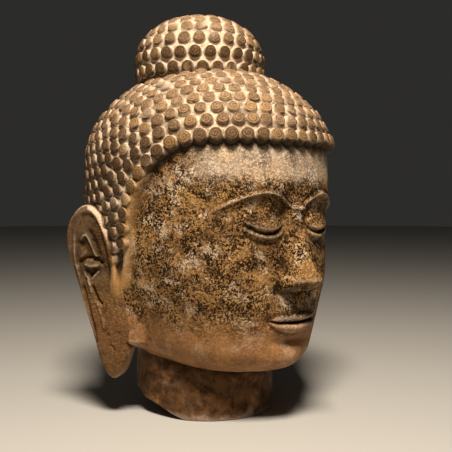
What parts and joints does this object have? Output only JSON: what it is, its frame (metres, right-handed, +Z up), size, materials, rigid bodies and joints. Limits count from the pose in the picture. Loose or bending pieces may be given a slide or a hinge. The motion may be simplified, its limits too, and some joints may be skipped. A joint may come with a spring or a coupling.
{
  "type": "buddha head",
  "caption": "Weathered stone head of a Buddha with rows of round curls, a knot of hair on the crown, long ears and a short broken neck it stands on.",
  "frame": {"origin": "on the ground under the middle of the head's bounding box, level with the flat underside of the neck", "axes": "+Z up, -Y the way the face looks, +X to the head's own left"},
  "size_m": [0.2868, 0.2954, 0.42],
  "materials": {
    "stone": "weathered, brown patina, matt with worn edges"
  },
  "bodies": {
    "root": {"buddha_head": "stone"}
  },
  "joints": []
}
